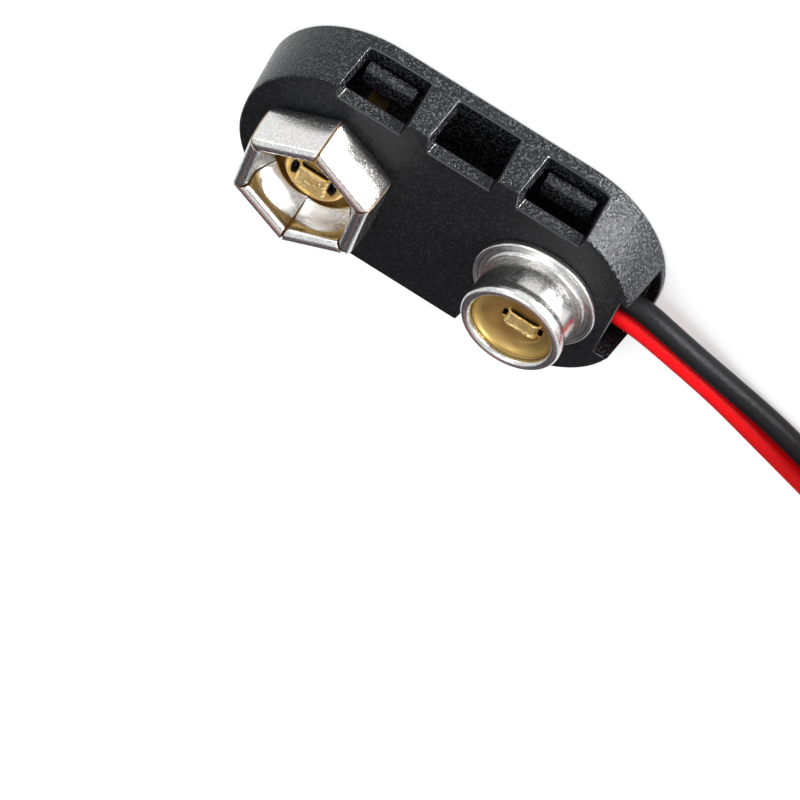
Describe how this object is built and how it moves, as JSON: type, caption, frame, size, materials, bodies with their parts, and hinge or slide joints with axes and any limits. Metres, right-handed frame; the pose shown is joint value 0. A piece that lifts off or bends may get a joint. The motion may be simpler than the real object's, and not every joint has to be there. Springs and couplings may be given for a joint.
{
  "type": "9v battery snap",
  "caption": "Flat moulded battery snap with a petal socket, a round stud and a pair of insulated leads that clip a block battery to a circuit.",
  "frame": {"origin": "middle of the flat back face that the snap lies on", "axes": "+X along the housing towards the lead slot, +Y towards the wall with three notches, +Z out of the contact face"},
  "size_m": [0.0535, 0.0167, 0.0069],
  "materials": {
    "housing_plastic": "fine moulded grain",
    "cover_plastic": "fine moulded grain",
    "plated_sheet": "bright plating over brass sheet",
    "lug_brass": "bare stamped strip",
    "solder": "dull solder",
    "tinned_strands": "tinned strands",
    "red_insulation": "smooth extruded insulation",
    "black_insulation": "smooth extruded insulation",
    "coiled_insulation": "red and black leads side by side",
    "tie_plastic": "plain band"
  },
  "bodies": {
    "root": {"housing": "housing_plastic", "back_cover": "cover_plastic", "socket_contact": "plated_sheet", "stud_contact": "plated_sheet", "socket_lug": "lug_brass", "stud_lug": "lug_brass", "red_joint": "solder", "black_joint": "solder", "red_strands": "tinned_strands", "black_strands": "tinned_strands", "red_lead": "red_insulation", "black_lead": "black_insulation", "lead_coil": "coiled_insulation", "coil_tie": "tie_plastic"}
  },
  "joints": []
}
